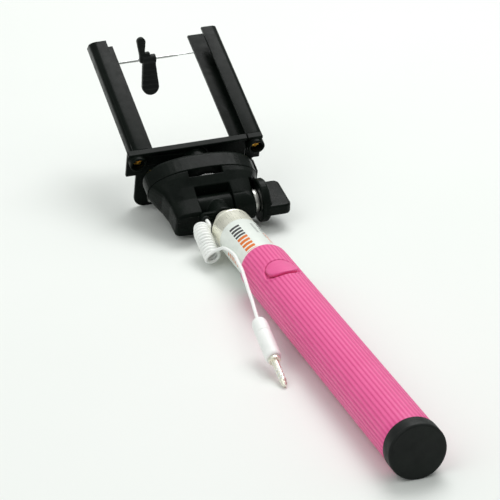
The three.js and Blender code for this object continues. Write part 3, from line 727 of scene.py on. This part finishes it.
def smooth_line(points, step):
    """Points every step or so along a centripetal Catmull-Rom curve through points."""
    knots = [points[0] * 2 - points[1], *points, points[-1] * 2 - points[-2]]
    line = []
    for a, b, c, d in zip(knots, knots[1:], knots[2:], knots[3:]):
        t1 = (b - a).length ** 0.5
        t2 = t1 + (c - b).length ** 0.5
        t3 = t2 + (d - c).length ** 0.5
        count = max(2, round((c - b).length / step))
        for i in range(count):
            t = t1 + (t2 - t1) * i / count
            p = a * ((t1 - t) / t1) + b * (t / t1)
            q = b * ((t2 - t) / (t2 - t1)) + c * ((t - t1) / (t2 - t1))
            r = c * ((t3 - t) / (t3 - t2)) + d * ((t - t2) / (t3 - t2))
            e = p * ((t2 - t) / t2) + q * (t / t2)
            f = q * ((t3 - t) / (t3 - t1)) + r * ((t - t1) / (t3 - t1))
            line.append(e * ((t2 - t) / (t2 - t1)) + f * ((t - t1) / (t2 - t1)))
    line.append(points[-1])
    return line


def coil_points():
    """The helix of the curly stretch about its own middle line."""
    core = smooth_line([table_point(p) for p in COIL_ROUTE], 0.0002)
    lengths = np.cumsum([0] + [(b - a).length for a, b in zip(core, core[1:])])
    margin = LEAD_DIAMETER / 2
    usable = lengths[-1] - 2 * margin
    turns = round(usable / COIL_PITCH) + 0.25
    points = []
    steps = int(turns * 24)
    for i in range(steps + 1):
        along = margin + usable * i / steps
        k = min(int(np.searchsorted(lengths, along)), len(core) - 2)
        share = (along - lengths[k]) / (lengths[k + 1] - lengths[k]) if k else 0
        ahead = (core[min(k + 12, len(core) - 1)] - core[max(k - 12, 0)]).normalized()
        side = ahead.cross(Vector((0, 0, 1))).normalized()
        over = side.cross(ahead)
        angle = turns * 2 * math.pi * i / steps
        points.append(core[k].lerp(core[k + 1], share)
                      + (side * math.cos(angle) + over * math.sin(angle)) * COIL_TURN_RADIUS)
    return points


def tightest(points):
    """The smallest radius of a line of points."""
    least = 1.0
    for a, b, c in zip(points, points[2:], points[4:]):
        area = (b - a).cross(c - a).length
        if area > 1e-14:
            least = min(least, (b - a).length * (c - b).length * (c - a).length / (2 * area))
    return least


def bridge(start, start_way, end, end_way):
    """The gentlest of some smooth curves from one point and direction to another, and its radius."""
    best = None
    steps = 32
    for first in HANDLES:
        for second in HANDLES:
            a, b = start + start_way * float(first), end - end_way * float(second)
            line = []
            for k in range(steps + 1):
                t = k / steps
                u = 1 - t
                line.append(start * u ** 3 + a * 3 * t * u ** 2 + b * 3 * t * t * u + end * t ** 3)
            radius = tightest(line)
            if best is None or radius > best[0]:
                best = (radius, line)
    return best


def gentlest_join(head_end, head_way, line, window):
    """The best bridge from a fixed end to a point of a line within the window, and the rest of that line."""
    choices = []
    for k in range(window[0], window[1], 2):
        way = (line[k + 1] - line[k - 1]).normalized()
        radius, curve = bridge(head_end, head_way, line[k], way)
        choices.append((radius, k, curve))
    _, k, curve = max(choices, key=lambda choice: choice[0])
    return curve[:-1] + line[k:]


def tube_curve(name, points, diameter):
    curve = bpy.data.curves.new(name, "CURVE")
    curve.dimensions = "3D"
    curve.bevel_depth = diameter / 2
    curve.bevel_resolution = 4
    curve.use_fill_caps = True
    spline = curve.splines.new("POLY")
    spline.points.add(len(points) - 1)
    for target, point in zip(spline.points, points):
        target.co = (*point, 1)
    return curve


def build_lead():
    """One cord out of the gland, round the coil, over the grip and into the plug."""
    gland_low, gland_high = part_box("cable_gland")
    start = Vector(((gland_low.x + gland_high.x) / 2, gland_low.y, (gland_low.z + gland_high.z) / 2))
    down = Vector((0, -1, 0))
    straight = [start + down * (STRAIGHT_STEP * k) for k in range(STRAIGHT_STEPS)]
    helix = coil_points()
    lead_in = straight + gentlest_join(straight[-1], down, helix, (10, 50))[1:]
    tail = smooth_line([table_point(p) for p in TAIL_ROUTE], 0.0008)[::-1]
    joint_at = len(tail) - 8                      # the tail's last few points give way to the bridge
    way = (tail[joint_at + 1] - tail[joint_at]).normalized()
    points = (tail[:joint_at] + gentlest_join(tail[joint_at], way, lead_in[::-1], (4, 40)))[::-1]
    lead = piece("lead", tube_curve("lead", points, LEAD_DIAMETER), "section_6", "lead_white",
                 ("cable_coil", "cable_tail"))
    build_plug()


def build_plug():
    """The moulded plug and its four-pole jack, turned about one line."""
    back, tip = table_point(PLUG_BACK), table_point(PLUG_TIP)
    ahead = (tip - back).normalized()
    jack = JACK_RADIUS
    shapes = {
        "plug_body": [(0, 0), (1.5, 0), (1.7, 0.5), (3.3, 1.3), (3.9, 3.2), (4.1, 6), (4.1, 10), (3.95, 10.3),
                      (3.95, 10.8), (4.1, 11.1), (4.1, 26.4), (3.8, 27.5), (3.3, 27.8), (0, 27.8)],
        "jack_sleeve": [(0, 28.1), (3, 28.1), (3, 29.7), (jack, 29.7), (jack, 35.9), (0, 35.9)],
        "jack_insulator_1": [(0, 36), (jack, 36), (jack, 36.8), (0, 36.8)],
        "jack_ring_1": [(0, 36.9), (jack, 36.9), (jack, 38.6), (0, 38.6)],
        "jack_insulator_2": [(0, 38.7), (jack, 38.7), (jack, 39.5), (0, 39.5)],
        "jack_ring_2": [(0, 39.6), (jack, 39.6), (jack, 41.3), (0, 41.3)],
        "jack_insulator_3": [(0, 41.4), (jack, 41.4), (jack, 42.2), (0, 42.2)],
        "jack_tip": [(0, 42.3), (jack, 42.3), (jack, 43.4), (1.1, 44.6), (1.55, 45.4), (0.7, 47), (0, 47.1)],
    }
    made = []
    for node, corners in shapes.items():
        ease = 0.3 if node == "plug_body" else 0.08
        made.append(stand_in(f"{node}_shell", turned(f"{node}_shell", corners, back, ahead, 48, ease), node))
    return made


build_lead()
build_head()


# ---------------------------------------------------------------- floor and light
HORIZON, ZENITH, SKY = (0.3, 0.307, 0.3), (0.97, 1.0, 0.975), 0.72
FLOOR_HALF = 15.0


def build_stage():
    """A pale floor, under a sky that is brightest overhead."""
    mesh = bpy.data.meshes.new("floor")
    corners = [(x * FLOOR_HALF, y * FLOOR_HALF, 0) for x, y in ((-1, -1), (1, -1), (1, 1), (-1, 1))]
    mesh.from_pydata(corners, [], [(0, 1, 2, 3)])
    floor = bpy.data.objects.new("floor", mesh)
    bpy.context.scene.collection.objects.link(floor)
    n = Nodes("floor")
    n.set(Base_Color=n.blend(n.noise(3), (0.79, 0.815, 0.79), (0.81, 0.83, 0.808)), Roughness=0.6)
    mesh.materials.append(n.material)
    world = bpy.data.worlds.new("world")
    world.use_nodes = True
    tree = world.node_tree
    background = tree.nodes["Background"]
    direction = tree.nodes.new("ShaderNodeTexCoord").outputs["Generated"]
    split = tree.nodes.new("ShaderNodeSeparateXYZ")
    ramp = tree.nodes.new("ShaderNodeValToRGB")
    for element, position, colour in zip(ramp.color_ramp.elements, (0.0, 0.9), (HORIZON, ZENITH)):
        element.position = position
        element.color = (*colour, 1)
    tree.links.new(direction, split.inputs[0])
    tree.links.new(split.outputs[2], ramp.inputs[0])
    tree.links.new(ramp.outputs[0], background.inputs[0])
    background.inputs[1].default_value = SKY
    bpy.context.scene.world = world


def area_light(name, place, aim, size, power):
    data = bpy.data.lights.new(name, "AREA")
    data.shape = "RECTANGLE"
    data.size = data.size_y = size
    data.energy = power
    light = bpy.data.objects.new(name, data)
    facing = (Vector(aim) - Vector(place)).to_track_quat("-Z", "Y").to_matrix().to_4x4()
    light.matrix_world = Matrix.Translation(place) @ facing
    bpy.context.scene.collection.objects.link(light)


build_stage()
area_light("key", (0.42, 0.62, 1.25), (0, 0.05, 0), 0.9, 12.5)
area_light("fill", (-0.9, -0.5, 1.0), (0, 0, 0), 1.2, 5)

bpy.context.scene.view_settings.view_transform = "Standard"
